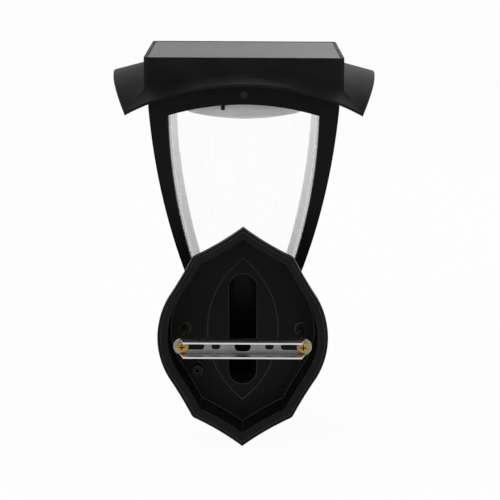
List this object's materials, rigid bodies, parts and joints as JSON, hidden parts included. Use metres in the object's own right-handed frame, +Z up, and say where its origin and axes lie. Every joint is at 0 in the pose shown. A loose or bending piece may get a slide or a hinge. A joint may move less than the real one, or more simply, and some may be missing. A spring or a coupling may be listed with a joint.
{
  "type": "wall lantern",
  "caption": "Square tapered solar lantern with flared roof and clear panes, on a hollow arm and shield-shaped wall plate with mounting bar.",
  "frame": {"origin": "middle of the wall plate, in the plane of the wall", "axes": "+Y out of the wall, towards the lantern; +Z up; +X to the right for someone behind the wall plate, facing along +Y"},
  "size_m": [0.204, 0.253, 0.2908],
  "materials": {
    "black_moulding": "satin",
    "clear_pane": "polished",
    "panel_cover": "polished",
    "solar_cell": "glossy",
    "circuit_board": "satin",
    "seal_rubber": "matte",
    "white_diffuser": "frosted",
    "white_plastic": "satin",
    "lamp_chip": "glossy",
    "board_component": "satin",
    "battery_sleeve": "satin",
    "spring_steel": "satin",
    "plated_steel": "plated",
    "screw_steel": "plated",
    "brass_hardware": "polished"
  },
  "bodies": {
    "light": {"roof_cap": "black_moulding", "panel_glass": "panel_cover", "panel_board": "circuit_board", "panel_seal": "seal_rubber", "solar_cells": "solar_cell", "lantern_frame": "black_moulding", "pane_back": "clear_pane", "pane_right": "clear_pane", "pane_front": "clear_pane", "pane_left": "clear_pane", "pane_clips": "spring_steel", "lamp_tray": "black_moulding", "dome_diffuser": "white_diffuser", "reflector": "white_plastic", "lamp_board": "circuit_board", "lamp_chips": "lamp_chip", "control_board": "circuit_board", "board_parts": "board_component", "battery_holder": "black_moulding", "battery_cell": "battery_sleeve", "battery_contacts": "spring_steel", "switch_case": "black_moulding", "tray_screws": "screw_steel", "reflector_screws": "screw_steel", "board_screws": "screw_steel", "base_screws": "screw_steel", "rail_screws": "screw_steel", "lantern_base": "black_moulding", "wall_arm": "black_moulding", "arm_screws": "screw_steel", "back_plate": "black_moulding", "wall_gasket": "seal_rubber", "long_screws": "brass_hardware", "cap_nuts": "brass_hardware", "cap_seals": "seal_rubber"},
    "wall_bar": {"mounting_bar": "plated_steel", "bar_washers": "brass_hardware", "bar_nuts": "brass_hardware"},
    "power_switch": {"switch_knob": "black_moulding"}
  },
  "joints": [
    {"name": "bar_slide", "type": "slide", "parent": "light", "child": "wall_bar", "axis": [0, 1, 0], "range_m": [0, 0.042]},
    {"name": "switch_slide", "type": "slide", "parent": "light", "child": "power_switch", "axis": [-1, 0, 0], "range_m": [0, 0.004]}
  ]
}
